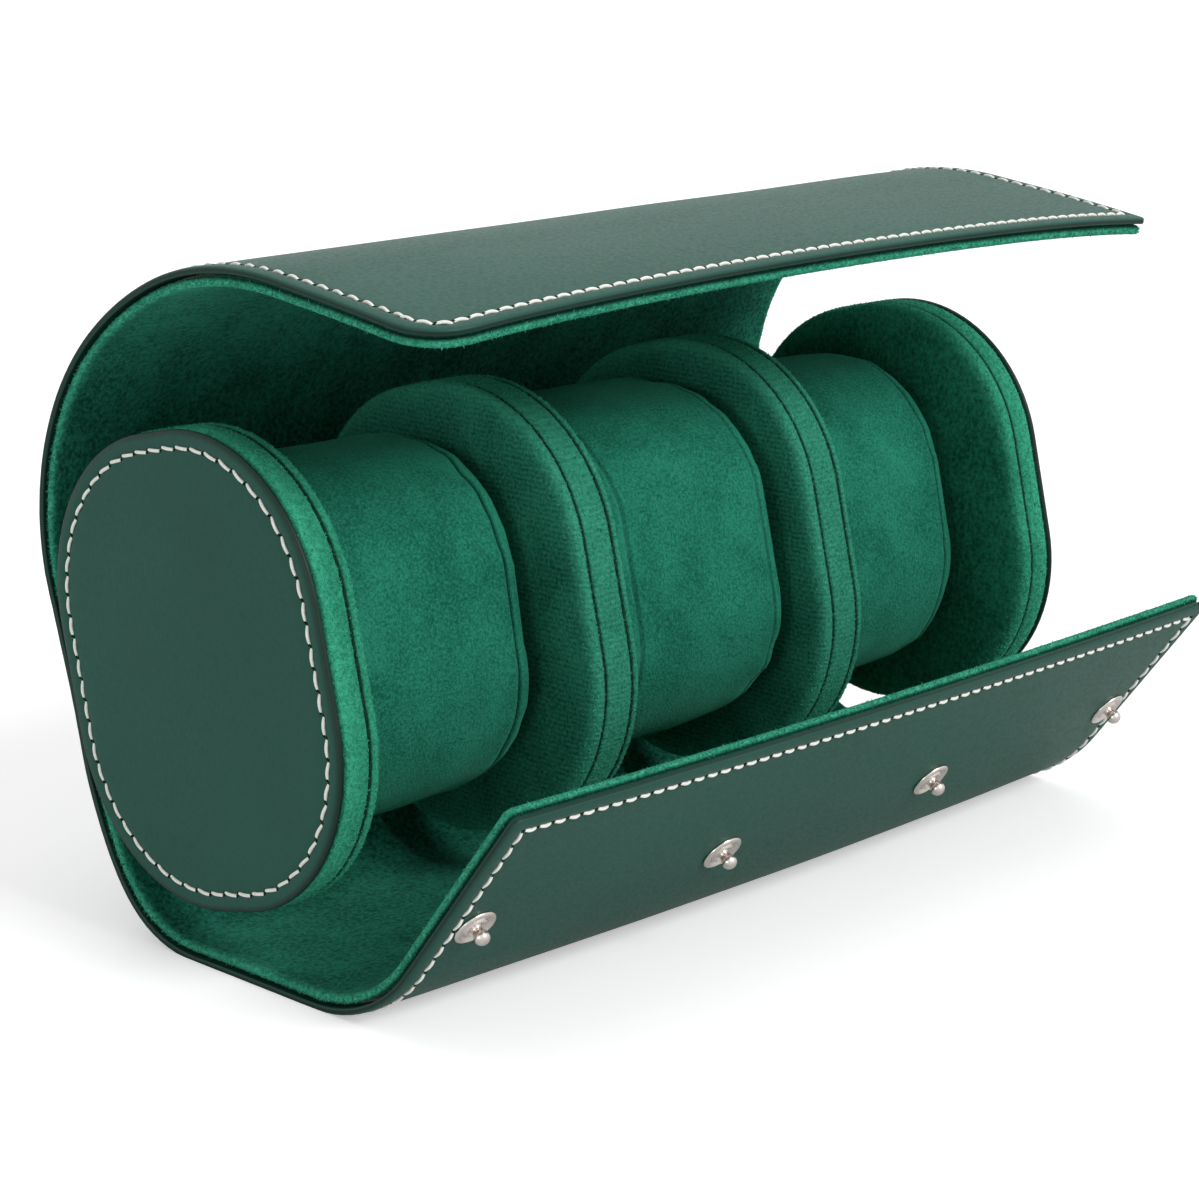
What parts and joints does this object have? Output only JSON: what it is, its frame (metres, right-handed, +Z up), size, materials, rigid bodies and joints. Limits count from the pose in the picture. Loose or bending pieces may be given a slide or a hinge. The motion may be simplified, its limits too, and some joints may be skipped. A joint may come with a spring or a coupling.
{
  "type": "travel watch case",
  "caption": "Soft roll case for wristwatches: leather wrap lined with velvet, oval end caps and dividers, a removable cushion in each compartment, and a flap closed by snaps.",
  "frame": {"origin": "on the flat of the base that the case stands on, midway between the end caps", "axes": "+X along the roll from the near end cap to the far one, +Z up, and the case opens to -Y"},
  "size_m": [0.2, 0.1246, 0.128],
  "materials": {
    "green_leather": "smooth satin coated leather",
    "green_velvet": "thick cut-pile velvet",
    "stiffener_board": "plain thin board",
    "oval_board": "plain grey board",
    "cushion_filling": "open-cell foam",
    "nickel_plated_metal": "satin nickel plate"
  },
  "bodies": {
    "base": {"base_leather": "green_leather", "base_stiffener": "stiffener_board", "base_lining": "green_velvet"},
    "core": {"spine_leather": "green_leather", "spine_stiffener": "stiffener_board", "spine_lining": "green_velvet", "near_cap_leather": "green_leather", "near_cap_board": "oval_board", "near_cap_lining": "green_velvet", "near_cap_rim_velvet": "green_velvet", "far_cap_leather": "green_leather", "far_cap_board": "oval_board", "far_cap_lining": "green_velvet", "far_cap_rim_velvet": "green_velvet", "near_divider_near_lining": "green_velvet", "near_divider_board": "oval_board", "near_divider_far_lining": "green_velvet", "near_divider_rim_velvet": "green_velvet", "far_divider_near_lining": "green_velvet", "far_divider_board": "oval_board", "far_divider_far_lining": "green_velvet", "far_divider_rim_velvet": "green_velvet"},
    "back": {"back_leather": "green_leather", "back_stiffener": "stiffener_board", "back_lining": "green_velvet"},
    "lid": {"lid_leather": "green_leather", "lid_stiffener": "stiffener_board", "lid_lining": "green_velvet"},
    "top_flap": {"top_flap_leather": "green_leather", "top_flap_stiffener": "stiffener_board", "top_flap_lining": "green_velvet", "snap_sockets": "nickel_plated_metal", "socket_backs": "nickel_plated_metal", "socket_springs": "nickel_plated_metal"},
    "toe": {"toe_leather": "green_leather", "toe_stiffener": "stiffener_board", "toe_lining": "green_velvet"},
    "front_flap": {"front_flap_leather": "green_leather", "front_flap_stiffener": "stiffener_board", "front_flap_lining": "green_velvet", "snap_studs": "nickel_plated_metal", "stud_rivets": "nickel_plated_metal"},
    "near_cushion": {"near_cushion_foam": "cushion_filling", "near_cushion_sleeve": "green_velvet", "near_cushion_ends": "green_velvet"},
    "middle_cushion": {"middle_cushion_foam": "cushion_filling", "middle_cushion_sleeve": "green_velvet", "middle_cushion_ends": "green_velvet"},
    "far_cushion": {"far_cushion_foam": "cushion_filling", "far_cushion_sleeve": "green_velvet", "far_cushion_ends": "green_velvet"}
  },
  "joints": [
    {"name": "core_lean", "type": "hinge", "parent": "base", "child": "core", "pos_m": [0, 0.0454, 0.02309], "axis": [1, 0, 0], "range_deg": [-4, 14.85]},
    {"name": "toe_crease", "type": "hinge", "parent": "base", "child": "toe", "pos_m": [0, -0.0077, 0.0033], "axis": [-1, 0, 0], "range_deg": [-5.61, 20.76]},
    {"name": "front_crease", "type": "hinge", "parent": "toe", "child": "front_flap", "pos_m": [0, -0.03655, 0.01766], "axis": [-1, 0, 0], "range_deg": [-5.16, 19.08]},
    {"name": "back_crease", "type": "hinge", "parent": "core", "child": "back", "pos_m": [0, 0.05781, 0.07341], "axis": [1, 0, 0], "range_deg": [-10, 26.75]},
    {"name": "lid_crease", "type": "hinge", "parent": "back", "child": "lid", "pos_m": [0, 0.02958, 0.11727], "axis": [1, 0, 0], "range_deg": [-3.41, 9.08]},
    {"name": "flap_crease", "type": "hinge", "parent": "lid", "child": "top_flap", "pos_m": [0, -0.00486, 0.12415], "axis": [1, 0, 0], "range_deg": [-10.52, 28.1]},
    {"name": "near_cushion_slide", "type": "slide", "parent": "core", "child": "near_cushion", "axis": [0, 0.9311, -0.3649], "range_m": [-0.06, 0]},
    {"name": "middle_cushion_slide", "type": "slide", "parent": "core", "child": "middle_cushion", "axis": [0, 0.9311, -0.3649], "range_m": [-0.06, 0]},
    {"name": "far_cushion_slide", "type": "slide", "parent": "core", "child": "far_cushion", "axis": [0, 0.9311, -0.3649], "range_m": [-0.06, 0]}
  ],
  "couplings": [
    {"joint": "toe_crease", "follows": "core_lean", "ratio": 1.3964},
    {"joint": "front_crease", "follows": "core_lean", "ratio": 1.2838},
    {"joint": "lid_crease", "follows": "back_crease", "ratio": 0.3387},
    {"joint": "flap_crease", "follows": "back_crease", "ratio": 1.0496}
  ]
}
